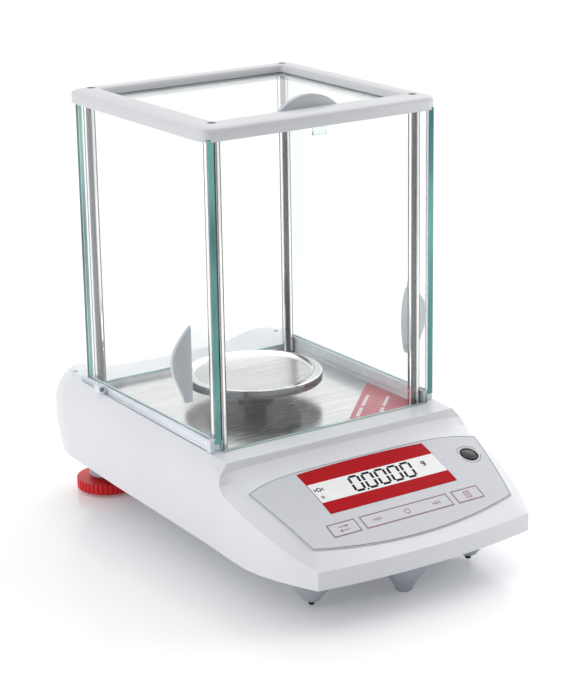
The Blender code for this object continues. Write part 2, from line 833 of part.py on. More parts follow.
def frame_ring(half, radius, z):
    deep = half - SHIELD_LESS_DEEP
    points = rounded_rectangle(2 * half, 2 * deep, radius, 5, (0.0, CHAMBER_Y))
    return [mm(x, y, z) for x, y in points]


def top_frame():
    section = (
        (SHIELD_HALF, 9.0, FRAME_BOTTOM),
        (SHIELD_HALF, 9.0, SHIELD_TOP - 3.0),
        (SHIELD_HALF - 0.6, 8.5, SHIELD_TOP - 2.0),
        (SHIELD_HALF - 2.0, 7.4, SHIELD_TOP - 1.3),
        (79.0, 4.4, SHIELD_TOP),
        (72.6, 2.2, SHIELD_TOP),
        (71.2, 1.8, SHIELD_TOP - 0.8),
        (69.8, 1.4, SHIELD_TOP - 4.3),
        (69.5, 1.2, FRAME_BOTTOM),
    )
    rings = [frame_ring(*level) for level in section]
    frame = place("top_frame", loft_mesh("top_frame", rings, True), HOUSING)
    slot_half = TOP_GLASS_HALF + 0.4
    slot_low = (-slot_half, TOP_GLASS_Y[0] - GAP, TOP_GLASS_Z[0] - GAP)
    slot_high = (slot_half, 140.0, TOP_GLASS_Z[1] + GAP)
    boolean(frame, cutter("top_slot", box_mesh("top_slot", slot_low, slot_high)))
    grooves = {
        "front_groove": (FRONT_PANE_HALF + 0.8, FRONT_PANE_Y),
        "rear_groove": (REAR_PANE_HALF + 0.4, REAR_PANE_Y),
    }
    for name, (half, y) in grooves.items():
        low = (-half, y - GLASS / 2 - 0.4, 270.0)
        high = (half, y + GLASS / 2 + 0.4, PANE_TOP + GAP)
        boolean(frame, cutter(name, box_mesh(name, low, high)))
    for side in (-1, 1):
        edges = sorted((side * (DOOR_INNER - 0.4), side * (DOOR_INNER + GLASS + 0.4)))
        low = (edges[0], DOOR_FRONT_Y - GAP, 270.0)
        high = (edges[1], 140.0, PANE_TOP + GAP)
        name = f"door_groove_{side}"
        boolean(frame, cutter(name, box_mesh(name, low, high)))
    for name, x, y in post_places("frame_screw"):
        hole = cone_mesh(f"{name}_hole", 1.7, 1.7, 270.0, 300.0, 16)
        boolean(frame, cutter(f"{name}_hole", hole, (x, y, 0.0)))
        seat = cone_mesh(f"{name}_seat", 2.9, 2.9, SHIELD_TOP - 3.0, SHIELD_TOP + 4.0, 20)
        boolean(frame, cutter(f"{name}_seat", seat, (x, y, 0.0)))
    shade_round(frame, 50.0)


def post_places(stem):
    return [
        (f"{stem}_{where}_{side}", x, CHAMBER_Y + y)
        for where, y in (("front", -POST_HALF_Y), ("rear", POST_HALF_Y))
        for side, x in (("left", -POST_HALF), ("right", POST_HALF))
    ]


def posts():
    top = FRAME_BOTTOM - GAP
    edge = POST_R - 0.4
    for name, x, y in post_places("post"):
        profile = (
            (1.6, top),
            (edge, top),
            (POST_R, top - 0.4),
            (POST_R, POST_BOTTOM + 0.4),
            (edge, POST_BOTTOM),
            (0.0, POST_BOTTOM),
            (0.0, 264.0),
            (1.6, 264.0),
        )
        made = turned_cup(name, profile, CHROME, 24)
        made.location = mm(x, y, 0.0)
        shade_round(made)


def frame_screws():
    head = SHIELD_TOP - 1.5
    for name, x, y in post_places("frame_screw"):
        profile = (
            (0.0, head - 0.5),
            (1.0, head - 0.4),
            (1.9, head),
            (2.5, head - 0.4),
            (2.5, head - 1.2),
            (1.3, head - 1.2),
            (1.3, 265.0),
            (0.0, 265.0),
        )
        turned(name, profile, STEEL, (x, y, 0.0), 16)


def glass_panes():
    front_y = (FRONT_PANE_Y - GLASS / 2, FRONT_PANE_Y + GLASS / 2)
    rear_y = (REAR_PANE_Y - GLASS / 2, REAR_PANE_Y + GLASS / 2)
    panes = {
        "front_glass": (
            (-FRONT_PANE_HALF, front_y[0], DECK_Z + GAP),
            (FRONT_PANE_HALF, front_y[1], PANE_TOP),
        ),
        "rear_glass": (
            (-REAR_PANE_HALF, rear_y[0], DECK_Z + GAP),
            (REAR_PANE_HALF, rear_y[1], PANE_TOP),
        ),
        "right_door_glass": (
            (DOOR_INNER, DOOR_FRONT_Y, DOOR_BOTTOM),
            (DOOR_INNER + GLASS, DOOR_REAR_Y, PANE_TOP),
        ),
        "left_door_glass": (
            (-DOOR_INNER - GLASS, DOOR_FRONT_Y, DOOR_BOTTOM),
            (-DOOR_INNER, DOOR_REAR_Y, PANE_TOP),
        ),
        "top_door_glass": (
            (-TOP_GLASS_HALF, TOP_GLASS_Y[0], TOP_GLASS_Z[0]),
            (TOP_GLASS_HALF, TOP_GLASS_Y[1], TOP_GLASS_Z[1]),
        ),
    }
    for name, (low, high) in panes.items():
        pane = place(name, box_mesh(name, low, high), GLASS_LOOK)
        bevel(pane, 0.35, 1)


def fin_outline():
    """Side door handle seen from the front: distance from the glass, then height."""
    steps = 14
    points = [(0.0, 0.0)]
    for i in range(steps):
        share = i / steps
        bulge = 11.6 * math.sin(math.pi * share**1.25)
        points.append((5.9 * (1 - share) + bulge, share * HANDLE_LENGTH))
    points.append((0.0, HANDLE_LENGTH))
    return points


def handle_pad(root, side):
    """The flat foot behind a handle's fin, by which it is bonded to the glass."""
    steps = 10
    edge = [(HANDLE_Y - 1.0, 0.0)]
    for i in range(steps):
        share = i / steps
        reach = 4.6 * (1 - share) ** 0.5 + 4.6 * math.sin(math.pi * share) ** 0.8
        edge.append((HANDLE_Y + reach, share * HANDLE_LENGTH))
    edge.append((HANDLE_Y - 1.0, HANDLE_LENGTH - 1.5))
    sheets = (root, root + side * 1.2)
    return [[mm(x, y, HANDLE_Z + z) for y, z in edge] for x in sheets]


def door_handles():
    root = DOOR_INNER + GLASS + GAP
    for name, side in (("left_door_handle", -1), ("right_door_handle", 1)):
        outline = [(side * x, y) for x, y in fin_outline()]
        mesh = outline_mesh(name, [outline[::side]], HANDLE_SHEET)
        fin = place(name, mesh, HANDLE_LOOK, (side * root, HANDLE_Y, HANDLE_Z))
        fin.rotation_euler = (math.pi / 2, 0.0, 0.0)
        pad = loft_mesh(f"{name}_pad", handle_pad(side * root, side), False)
        boolean(fin, cutter(f"{name}_pad", pad), "UNION")
        bevel(fin, 0.7, 2)
    half = HANDLE_LENGTH / 2
    radius = (half**2 + HANDLE_HEIGHT**2) / (2 * HANDLE_HEIGHT)
    reach = math.asin(half / radius)
    steps = 18
    arc = []
    for i in range(steps + 1):
        angle = between(-reach, reach, i / steps)
        arc.append((radius * math.sin(angle), HANDLE_HEIGHT - radius * (1 - math.cos(angle))))
    top = outline_mesh("top_door_handle", [arc], HANDLE_SHEET)
    fin = place(
        "top_door_handle", top, HANDLE_LOOK, (0.0, TOP_HANDLE_Y, TOP_GLASS_Z[1] + GAP)
    )
    fin.rotation_euler = (math.pi / 2, 0.0, 0.0)
    bevel(fin, 0.7, 2)
    stop = box_mesh("top_door_stop", (-5.0, -43.5, 271.0), (5.0, -41.0, FRAME_BOTTOM - GAP))
    bevel(place("top_door_stop", stop, CLEAR), 0.4, 1)


def door_rails():
    inner = FLOOR_HALF + 0.5
    outer = SHIELD_HALF - 0.2
    low, high = DECK_Z + GAP, DECK_Z + 7.3
    slot = (DOOR_INNER - 0.4, DOOR_INNER + GLASS + 0.4)
    floor = DOOR_BOTTOM - GAP
    section = (
        (inner, low),
        (outer - 0.8, low),
        (outer, low + 0.9),
        (outer, low + 2.4),
        (outer - 0.6, low + 3.0),
        (outer - 0.6, high - 0.6),
        (outer - 1.2, high),
        (slot[1], high),
        (slot[1], floor),
        (slot[0], floor),
        (slot[0], high),
        (inner, high),
    )
    for name, side in (("left_rail", -1), ("right_rail", 1)):
        ends = (FLOOR_FRONT_Y - 0.5, RAIL_REAR_Y)
        rings = [[mm(side * x, y, z) for x, z in section] for y in ends]
        rail = place(name, loft_mesh(name, rings, False), RAIL)
        if side < 0:
            end_low = (-outer - 0.9, DOOR_FRONT_Y + 0.6, low + 0.6)
            end = box_mesh("rail_end", end_low, (-slot[1] - 0.1, FLOOR_FRONT_Y, high + 1.2))
            boolean(rail, cutter("rail_end", end), "UNION")
    clip = box_mesh("clip", (-outer - 6.0, 81.8, 87.9), (-outer - 0.5, 89.4, 93.0))
    holder = place("left_rail_clip", clip, RAIL)
    hole = box_mesh("clip_hole", (-outer - 4.9, 78.0, 89.0), (-outer - 1.7, 87.0, 91.9))
    boolean(holder, cutter("clip_hole", hole))
    bevel(holder, 0.8, 1, 60.0)


# ---------------------------------------------------------------- chamber floor and pan


def chamber():
    low = (-FLOOR_HALF, FLOOR_FRONT_Y - 0.1, FLOOR_Z - FLOOR_SHEET)
    high = (FLOOR_HALF, REAR_PANE_Y - GLASS / 2 - 0.6, FLOOR_Z)
    plate = place("floor_plate", box_mesh("floor_plate", low, high), BRUSHED)
    hole = cone_mesh("plate_hole", 9.5, 9.5, 70.0, 90.0, 40)
    boolean(plate, cutter("plate_hole", hole, (0.0, PAN_Y, 0.0)))
    collar_profile = (
        (11.6, FLOOR_Z + 3.6),
        (12.2, FLOOR_Z + 3.0),
        (12.2, FLOOR_Z + GAP),
        (10.4, FLOOR_Z + GAP),
        (10.4, FLOOR_Z + 3.6),
    )
    turned("floor_collar", collar_profile, BRUSHED, (0.0, PAN_Y, 0.0), 40)


def pan_and_support():
    rim = PAN_R
    profile = (
        (0.0, PAN_TOP - 1.5),
        (37.4, PAN_TOP - 1.5),
        (38.4, PAN_TOP - 0.9),
        (44.0, PAN_TOP),
        (44.6, PAN_TOP - 0.1),
        (rim, PAN_TOP - 0.6),
        (rim, PAN_TOP - 5.9),
        (rim - 0.9, PAN_TOP - 6.0),
        (rim - 0.9, PAN_TOP - 1.6),
        (43.6, PAN_TOP - 1.1),
        (38.6, PAN_TOP - 1.9),
        (37.6, PAN_TOP - 2.5),
        (0.0, PAN_TOP - 2.5),
    )
    turned("pan", profile, BRUSHED, (0.0, PAN_Y, 0.0), 48)
    under = PAN_TOP - 2.5 - GAP
    support = (
        (0.0, under),
        (30.0, under),
        (31.0, under - 0.6),
        (31.0, under - 1.8),
        (9.0, under - 2.4),
        (7.4, under - 4.0),
        (7.4, 85.0),
        (4.6, 84.6),
        (4.3, 88.0),
        (3.0, 91.0),
        (0.0, 91.0),
    )
    turned("pan_support", support, ALUMINIUM, (0.0, PAN_Y, 0.0), 40)
    spindle = (
        (0.0, 90.7),
        (2.6, 90.7),
        (4.0, 87.8),
        (4.0, 72.0),
        (7.0, 71.6),
        (7.0, 69.0),
        (0.0, 69.0),
    )
    turned("load_receptor", spindle, STEEL, (0.0, PAN_Y, 0.0), 32)


# ---------------------------------------------------------------- inside and rear


def weighing_cell():
    block = place(
        "weighing_cell",
        box_mesh("weighing_cell", (-24.0, -8.0, 30.0), (24.0, 84.0, 68.0)),
        ALUMINIUM,
    )
    for index, z in enumerate((36.0, 60.0)):
        slit = box_mesh(f"guide_slit_{index}", (-30.0, 2.0, z), (30.0, 58.0, z + 1.2))
        boolean(block, cutter(f"guide_slit_{index}", slit))
    window = box_mesh("lever_window", (-30.0, 12.0, 42.0), (30.0, 50.0, 55.0))
    boolean(block, cutter("lever_window", window))
    bevel(block, 0.8, 1)
    base = box_mesh("cell_base", (-40.0, -20.0, 15.2), (40.0, 106.0, 29.6))
    casting = place("cell_base", base, ALUMINIUM)
    well = cone_mesh("hook_well", 13.0, 13.0, 5.0, 40.0, 32)
    boolean(casting, cutter("hook_well", well, (0.0, PAN_Y, 0.0)))
    bevel(casting, 1.0, 1)
    magnet = cone_mesh("magnet_pot", 15.0, 15.0, 30.0, 56.0, 40)
    bevel(place("magnet_pot", magnet, STEEL, (0.0, 102.0, 0.0)), 0.8, 1)
    board = box_mesh("main_board", (-60.0, -104.0, 19.0), (60.0, -28.0, 20.6))
    place("main_board", board, BOARD)
    transformer = box_mesh("mains_filter", (-22.0, -66.0, 20.9), (22.0, -36.0, 38.0))
    bevel(place("power_module", transformer, BLACK), 0.8, 1)


def rear_connectors():
    shell = box_mesh("data_port", (-36.0, 148.0, 46.8), (-5.0, 159.0, 59.2))
    port = place("data_port", shell, STEEL)
    mouth = box_mesh("data_port_mouth", (-33.0, 153.0, 48.6), (-8.0, 162.0, 57.4))
    boolean(port, cutter("data_port_mouth", mouth))
    bevel(port, 0.4, 1)
    jack = place(
        "power_jack", box_mesh("power_jack", (22.1, 146.0, 47.1), (33.9, 159.0, 58.9)), BLACK
    )
    bore = cone_mesh("jack_bore", 3.4, 3.4, 0.0, 10.0, 24)
    tool = cutter("jack_bore", bore, (28.0, 162.0, 53.0))
    tool.rotation_euler = (math.pi / 2, 0.0, 0.0)
    boolean(jack, tool)
    bevel(jack, 0.4, 1)


# ---------------------------------------------------------------- feet


def wheel_outline():
    points = []
    for rib in range(WHEEL_RIBS):
        for share, radius in ((0.0, WHEEL_R), (0.45, WHEEL_R), (0.6, 21.0), (0.85, 21.0)):
            angle = 2 * math.pi * (rib + share) / WHEEL_RIBS
            points.append((radius * math.cos(angle), radius * math.sin(angle)))
    return points


def levelling_feet():
    rim = outline_mesh("foot_wheel", [wheel_outline(), circle(4.2, sides=24)[::-1]], 7.0)
    for name, side in (("left", -1), ("right", 1)):
        at = (side * WHEEL_AT[0], WHEEL_AT[1])
        wheel = place(f"foot_wheel_{name}", rim.copy(), RED, (*at, 5.5))
        stem_profile = (
            (0.0, 33.0),
            (3.2, 33.0),
            (3.9, 32.2),
            (3.9, 2.6),
            (3.2, 2.3),
            (0.0, 2.3),
        )
        turned(f"foot_stem_{name}", stem_profile, STEEL, (*at, 0.0), 24)
        pad_profile = ((0.0, 1.7), (15.0, 1.7), (16.0, 1.2), (16.4, 0.0), (0.0, 0.0))
        turned(f"foot_pad_{name}", pad_profile, RUBBER, (*at, 0.0), 32)
        pin_at = (side * PIN_AT[0], PIN_AT[1])
        pin_profile = ((0.0, 8.4), (2.0, 8.4), (2.0, 1.5), (1.5, 1.0), (0.0, 1.0))
        turned(f"safety_pin_{name}", pin_profile, RUBBER, (*pin_at, 0.0), 16)
    foot_profile = (
        (0.0, TRAY_Z - GAP),
        (11.5, TRAY_Z - GAP),
        (10.8, 10.2),
        (6.0, 2.6),
        (5.2, 0.0),
        (0.0, 0.0),
    )
    turned("front_foot", foot_profile, TRAY, (*FRONT_FOOT_AT, 0.0), 32)
    low = TRAY_Z - 0.1
    cover = ((0.0, low + 2.4), (12.0, low + 2.4), (12.0, low + 0.5), (11.4, low), (0.0, low))
    turned("hook_cover", cover, BLACK, (0.0, PAN_Y, 0.0), 32)


clear_scene()
PARTS = new_collection("analytical_balance")
CUTTERS = new_collection("cutters", hidden=True)

HOUSING = new_material("housing_white", (0.76, 0.77, 0.81), 0.38)
TRAY = new_material("tray_grey", (0.34, 0.37, 0.42), 0.5)
OVERLAY = new_material("overlay_grey", (0.62, 0.66, 0.72), 0.42)
WINDOW_LOOK = new_material("window_red", (0.55, 0.01, 0.02), 0.25)
LCD_LOOK = new_material("lcd_grey", (0.72, 0.74, 0.71), 0.35)
BOARD = new_material("board_green", (0.03, 0.19, 0.09), 0.5)
VIAL_LOOK = new_material("vial_black", (0.02, 0.02, 0.03), 0.3)
CLEAR = new_material("clear_plastic", (0.8, 0.92, 0.9), 0.08, 0.0, 0.5)
GLASS_LOOK = new_material("pane_glass", (0.82, 0.95, 0.92), 0.02, 0.0, 0.3)
CHROME = new_material("post_chrome", (0.82, 0.82, 0.82), 0.08, 1.0)
STEEL = new_material("plain_steel", (0.55, 0.55, 0.56), 0.3, 1.0)
BRUSHED = new_material("brushed_steel", (0.66, 0.64, 0.61), 0.32, 1.0)
ALUMINIUM = new_material("cast_aluminium", (0.62, 0.63, 0.64), 0.42, 1.0)
HANDLE_LOOK = new_material("handle_grey", (0.62, 0.66, 0.72), 0.4)
RAIL = new_material("rail_white", (0.8, 0.86, 0.91), 0.3)
RED = new_material("wheel_red", (0.58, 0.02, 0.03), 0.35)
RUBBER = new_material("foot_rubber", (0.03, 0.03, 0.03), 0.8)
BLACK = new_material("black_plastic", (0.03, 0.03, 0.03), 0.5)

upper_housing()
lower_housing()
housing_screws()
control_panel()
display_electronics()
level_vial()
top_frame()
posts()
frame_screws()
glass_panes()
door_handles()
door_rails()
chamber()
pan_and_support()
weighing_cell()
rear_connectors()
levelling_feet()
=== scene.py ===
"""Looks for the analytical balance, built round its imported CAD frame.

The frame is in metres; sizes here are in millimetres. +Z is up and the display faces -Y.
"""

import math

import bmesh
import bpy
from mathutils import Matrix, Vector

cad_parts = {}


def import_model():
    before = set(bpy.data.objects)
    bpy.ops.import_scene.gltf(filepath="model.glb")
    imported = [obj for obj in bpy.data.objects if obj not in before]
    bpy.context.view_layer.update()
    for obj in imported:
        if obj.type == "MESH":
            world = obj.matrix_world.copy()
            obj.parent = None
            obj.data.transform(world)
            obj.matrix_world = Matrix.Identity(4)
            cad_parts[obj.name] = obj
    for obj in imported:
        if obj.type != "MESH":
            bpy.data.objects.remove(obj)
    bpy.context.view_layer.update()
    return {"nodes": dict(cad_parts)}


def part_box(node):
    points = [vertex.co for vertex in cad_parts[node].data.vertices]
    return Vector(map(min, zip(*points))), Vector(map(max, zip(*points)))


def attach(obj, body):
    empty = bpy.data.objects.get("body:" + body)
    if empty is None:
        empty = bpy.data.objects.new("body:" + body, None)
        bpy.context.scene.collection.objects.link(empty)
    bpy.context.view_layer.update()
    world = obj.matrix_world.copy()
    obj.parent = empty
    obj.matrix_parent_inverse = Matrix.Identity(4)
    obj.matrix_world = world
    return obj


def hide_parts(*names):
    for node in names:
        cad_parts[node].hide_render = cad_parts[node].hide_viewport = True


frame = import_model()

MM = 0.001
BODY = "balance_body"
SCENE = bpy.context.scene
FULL_TURN = 2 * math.pi
WHITE = (1.0, 1.0, 1.0)
EVEN = (1.0, 1.0, 1.0)


def mm(*values):
    return Vector([value * MM for value in values])


def between(start, end, share):
    return start + (end - start) * share


# ---------------------------------------------------------------- node materials

NOISE_LOW, NOISE_HIGH = 0.3, 0.7


class Look:
    """A material made from nodes round one Principled shader."""

    def __init__(self, name, colour, rough, metal=0.0, **sockets):
        self.made = bpy.data.materials.new(name)
        self.made.use_nodes = True
        self.tree = self.made.node_tree
        self.shader = self.tree.nodes["Principled BSDF"]
        self.output = self.tree.nodes["Material Output"]
        self.colour = colour
        self.rough = rough
        self.shader.inputs["Base Color"].default_value = (*colour, 1.0)
        self.shader.inputs["Roughness"].default_value = rough
        self.shader.inputs["Metallic"].default_value = metal
        for socket, value in sockets.items():
            self.shader.inputs[socket.replace("_", " ")].default_value = value

    def node(self, kind, **values):
        """A node with some of its sockets or settings filled in."""
        made = self.tree.nodes.new(kind)
        for key, value in values.items():
            if key in made.inputs:
                made.inputs[key].default_value = value
            else:
                setattr(made, key, value)
        return made

    def link(self, start, end):
        self.tree.links.new(start, end)

    def maths(self, operation, *terms):
        """A Math node; each term is a number or a socket."""
        made = self.node("ShaderNodeMath", operation=operation)
        for place, term in zip(made.inputs, terms):
            if isinstance(term, float):
                place.default_value = term
            else:
                self.link(term, place)
        return made.outputs[0]

    def placed(self, **values):
        """The object's own coordinates, moved or stretched."""
        position = self.node("ShaderNodeTexCoord").outputs["Object"]
        mapping = self.node("ShaderNodeMapping", **values)
        self.link(position, mapping.inputs["Vector"])
        return mapping.outputs["Vector"]

    def noise(self, scale, detail=2.0, stretch=EVEN):
        made = self.node("ShaderNodeTexNoise", Scale=scale, Detail=detail)
        self.link(self.placed(Scale=stretch), made.inputs["Vector"])
        return made.outputs["Fac"]

    def spread(self, source, span, low, high, curve="LINEAR"):
        """A value that goes from low to high while the source crosses the span."""
        made = self.node("ShaderNodeMapRange", interpolation_type=curve)
        made.inputs["From Min"].default_value = span[0]
        made.inputs["From Max"].default_value = span[1]
        made.inputs["To Min"].default_value = low
        made.inputs["To Max"].default_value = high
        self.link(source, made.inputs["Value"])
        return made.outputs["Result"]

    def ramp(self, noise, low, high):
        return self.spread(noise, (NOISE_LOW, NOISE_HIGH), low, high)

    def mix_colour(self, share, first, second):
        """Base colour that goes from the first colour to the second."""
        mix = self.node("ShaderNodeMix", data_type="RGBA")
        mix.inputs["A"].default_value = (*first, 1.0)
        mix.inputs["B"].default_value = (*second, 1.0)
        self.link(share, mix.inputs["Factor"])
        self.link(mix.outputs["Result"], self.shader.inputs["Base Color"])

    def vary_rough(self, noise, spread):
        low = max(self.rough - spread, 0.01)
        self.link(self.ramp(noise, low, self.rough + spread), self.shader.inputs["Roughness"])

    def vary_colour(self, noise, darker, lighter):
        first = [tone * darker for tone in self.colour]
        second = [min(tone * lighter, 1.0) for tone in self.colour]
        self.mix_colour(self.ramp(noise, 0.0, 1.0), first, second)

    def bump(self, noise, depth):
        made = self.node("ShaderNodeBump", Strength=1.0, Distance=depth * MM)
        self.link(noise, made.inputs["Height"])
        self.link(made.outputs["Normal"], self.shader.inputs["Normal"])
        return self.made


def moulded(name, colour, rough, grain, depth, coat=0.0):
    """Injection-moulded plastic: a fine sparked grain and slow tone changes."""
    look = Look(name, colour, rough, Coat_Weight=coat, Coat_Roughness=0.18)
    look.vary_rough(look.noise(60.0, 3.0), 0.05)
    look.vary_colour(look.noise(14.0), 0.965, 1.02)
    return look.bump(look.noise(grain), depth)


def brushed(name, colour, rough, depth):
    """Brushed steel: long grain along X, in its tone, roughness and relief."""
    along_x = (0.02, 1.0, 1.0)
    look = Look(name, colour, rough, 1.0)
    grain = look.noise(2600.0, 4.0, along_x)
    look.vary_rough(grain, 0.09)
    look.vary_colour(look.noise(1500.0, 5.0, along_x), 0.82, 1.08)
    return look.bump(grain, depth)


def turned_metal(name, colour, rough, depth=0.004):
    """Lathe-turned or polished metal with faint marks."""
    look = Look(name, colour, rough, 1.0)
    look.vary_rough(look.noise(220.0, 3.0), rough * 0.35)
    look.vary_colour(look.noise(35.0), 0.93, 1.04)
    return look.bump(look.noise(900.0), depth)


# Painted reflections on the posts: four dark and pale bands round each bar, turned to a fixed start
# angle.
REFLECTION_BANDS_ROUND = 4.0
REFLECTION_BANDS_START = math.radians(REFLECTION_BANDS_ROUND * 123.7)
REFLECTION_BAND_RAGGED = 0.9
REFLECTION_BAND_EDGE = (-0.95, 0.05)
PAINTED_REFLECTION_PALE = (0.93, 0.93, 0.93)
PAINTED_REFLECTION_DARK = (0.15, 0.15, 0.155)
ALONG_BAR = (1.0, 1.0, 0.004)
DRAWN_BAR = (1.0, 1.0, 0.02)


def chrome(name, post):
    """Polished tube with painted reflections: darker and paler bands along the bar, four round it.
    """
    look = Look(name, (0.9, 0.9, 0.91), 0.1, 1.0)
    look.shader.inputs["Specular Tint"].default_value = (0.3, 0.3, 0.31, 1.0)
    low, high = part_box(post)
    middle = (low + high) / 2
    split = look.node("ShaderNodeSeparateXYZ")
    look.link(look.placed(Location=(-middle.x, -middle.y, 0.0)), split.inputs["Vector"])
    turn = look.maths("ARCTAN2", split.outputs["Y"], split.outputs["X"])
    wave = look.maths("COSINE", look.maths("MULTIPLY_ADD", turn, REFLECTION_BANDS_ROUND, REFLECTION_BANDS_START))
    ragged = look.noise(500.0, 2.0, ALONG_BAR)
    ragged = look.maths("MULTIPLY_ADD", ragged, REFLECTION_BAND_RAGGED, -REFLECTION_BAND_RAGGED / 2)
    tone = look.maths("ADD", wave, ragged)
    # Painted reflection: the bands set the base colour.
    look.mix_colour(look.spread(tone, REFLECTION_BAND_EDGE, 0.0, 1.0, "SMOOTHSTEP"), PAINTED_REFLECTION_PALE, PAINTED_REFLECTION_DARK)
    look.vary_rough(look.noise(400.0, 2.0, DRAWN_BAR), 0.02)
    return look.made


def see_through(name, tint, rough, shade_tint, ior=1.45):
    """Clear glass or plastic that lets lamp light reach what is behind it."""
    look = Look(name, tint, rough, Transmission_Weight=1.0, IOR=ior)
    clear = look.node("ShaderNodeBsdfTransparent", Color=(*shade_tint, 1.0))
    mix = look.node("ShaderNodeMixShader")
    path = look.node("ShaderNodeLightPath")
    look.link(path.outputs["Is Shadow Ray"], mix.inputs[0])
    look.link(look.shader.outputs[0], mix.inputs[1])
    look.link(clear.outputs[0], mix.inputs[2])
    look.link(mix.outputs[0], look.output.inputs["Surface"])
    return look.made


def glass_edge(name, deep, pale):
    """The polished edge of a pane: light that ran through the glass, in long runs."""
    look = Look(name, deep, 0.2, Specular_IOR_Level=0.2)
    look.mix_colour(look.ramp(look.noise(9.0, 3.0, (3.0, 3.0, 1.0)), 0.0, 1.0), deep, pale)
    look.vary_rough(look.noise(300.0), 0.05)
    return look.made


def printed(name, colour, rough, sheen=0.5):
    """Screen ink on film: a faint mottle and the film's own fine texture."""
    look = Look(name, colour, rough, Specular_IOR_Level=sheen)
    look.vary_colour(look.noise(300.0), 0.975, 1.015)
    look.vary_rough(look.noise(900.0), 0.04)
    return look.bump(look.noise(2200.0), 0.002)


def circuit_board(name):
    """Green board with lighter and darker fields."""
    look = Look(name, (0.02, 0.16, 0.07), 0.35)
    look.vary_colour(look.noise(240.0, 4.0, (1.0, 0.2, 1.0)), 0.5, 1.5)
    return look.bump(look.noise(700.0), 0.02)


SHELL = moulded("shell_white", (0.77, 0.78, 0.815), 0.34, 1500.0, 0.003, 0.2)
RING = moulded("ring_grey_white", (0.66, 0.67, 0.695), 0.36, 1500.0, 0.003, 0.15)
TRAY = moulded("tray_grey", (0.40, 0.43, 0.48), 0.5, 1100.0, 0.012)
FILM = printed("panel_film", (0.62, 0.63, 0.675), 0.36)
FILM_KEY = printed("key_film", (0.62, 0.63, 0.675), 0.34)
BAND_RED = printed("band_red", (0.47, 0.003, 0.008), 0.4, 0.06)
LINE_RED = printed("outline_red", (0.30, 0.012, 0.03), 0.4, 0.2)
LINE_GREY = printed("outline_grey", (0.10, 0.11, 0.14), 0.4, 0.2)
INK = printed("ink_black", (0.004, 0.006, 0.012), 0.4, 0.12)
LCD_FACE = printed("lcd_face", (0.92, 0.92, 0.92), 0.3, 0.3)
LABEL_RED = printed("label_red", (0.62, 0.13, 0.17), 0.3)
LABEL_WHITE = printed("label_white", (0.85, 0.80, 0.80), 0.35)
HANDLE = moulded("handle_grey", (0.58, 0.615, 0.655), 0.36, 1300.0, 0.004, 0.15)
RAIL = moulded("rail_blue_white", (0.74, 0.79, 0.845), 0.26, 1600.0, 0.003, 0.4)
WHEEL_RED = moulded("wheel_red", (0.70, 0.004, 0.012), 0.4, 900.0, 0.01)
RUBBER = moulded("rubber_black", (0.025, 0.025, 0.027), 0.75, 700.0, 0.03)
BLACK = moulded("plastic_black", (0.015, 0.015, 0.018), 0.45, 900.0, 0.01)
FLOOR_STEEL = brushed("floor_steel", (0.78, 0.775, 0.765), 0.2, 0.004)
PAN_STEEL = brushed("pan_steel", (0.70, 0.69, 0.67), 0.2, 0.004)
RIM_STEEL = turned_metal("rim_steel", (0.80, 0.80, 0.80), 0.09, 0.002)
# Dark copy of the pan's steel for its skirt and underside: painted shade and painted dark
# reflection.
PAINTED_SHADE_STEEL = turned_metal("painted_shade_steel", (0.20, 0.20, 0.205), 0.12, 0.002)
STEEL = turned_metal("plain_steel", (0.52, 0.52, 0.53), 0.28)
SCREW_DARK = turned_metal("screw_dark", (0.16, 0.16, 0.17), 0.4)
# Near-black metal for the support parts under the pan: painted shade.
PAINTED_SHADE_CARRIER = turned_metal("carrier_painted_shade", (0.06, 0.06, 0.063), 0.36, 0.006)
ALUMINIUM = turned_metal("machined_aluminium", (0.6, 0.61, 0.62), 0.4, 0.01)
BRASS = turned_metal("pin_brass", (0.72, 0.58, 0.30), 0.25)
BOARD = circuit_board("board_green")
PANE = see_through("pane_glass", (0.985, 1.0, 0.997), 0.0, (0.985, 0.997, 0.994), 1.42)
PANE_EDGE = glass_edge("pane_edge", (0.015, 0.13, 0.15), (0.34, 0.78, 0.70))
PANE_FOOT = glass_edge("pane_foot", (0.20, 0.40, 0.39), (0.50, 0.70, 0.67))
CLEAR = see_through("clear_plastic", (0.86, 0.93, 0.92), 0.06, (0.85, 0.92, 0.92))
VIAL_GLASS = see_through("vial_glass", (0.09, 0.10, 0.125), 0.02, (0.3, 0.3, 0.32))

# ---------------------------------------------------------------- mesh helpers


def piece(name, bm, looks, body=BODY, crease=None):
    """A finished piece from a bmesh, riding on a body; smooth up to the crease angle."""
    bmesh.ops.recalc_face_normals(bm, faces=bm.faces)
    mesh = bpy.data.meshes.new(name)
    bm.to_mesh(mesh)
    bm.free()
    made = bpy.data.objects.new(name, mesh)
    SCENE.collection.objects.link(made)
    for look in looks:
        mesh.materials.append(look)
    if crease is not None:
        mesh.shade_smooth()
        mesh.set_sharp_from_angle(angle=math.radians(crease))
    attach(made, body)
    return made


def on_circle(centre, radius, angle):
    return centre[0] + radius * math.cos(angle), centre[1] + radius * math.sin(angle)


def ring_points(radius, sides, centre=(0.0, 0.0)):
    return [on_circle(centre, radius, FULL_TURN * i / sides) for i in range(sides)]


def arc_points(centre, radius, start, end, steps):
    angles = [math.radians(between(start, end, i / steps)) for i in range(steps + 1)]
    return [on_circle(centre, radius, angle) for angle in angles]


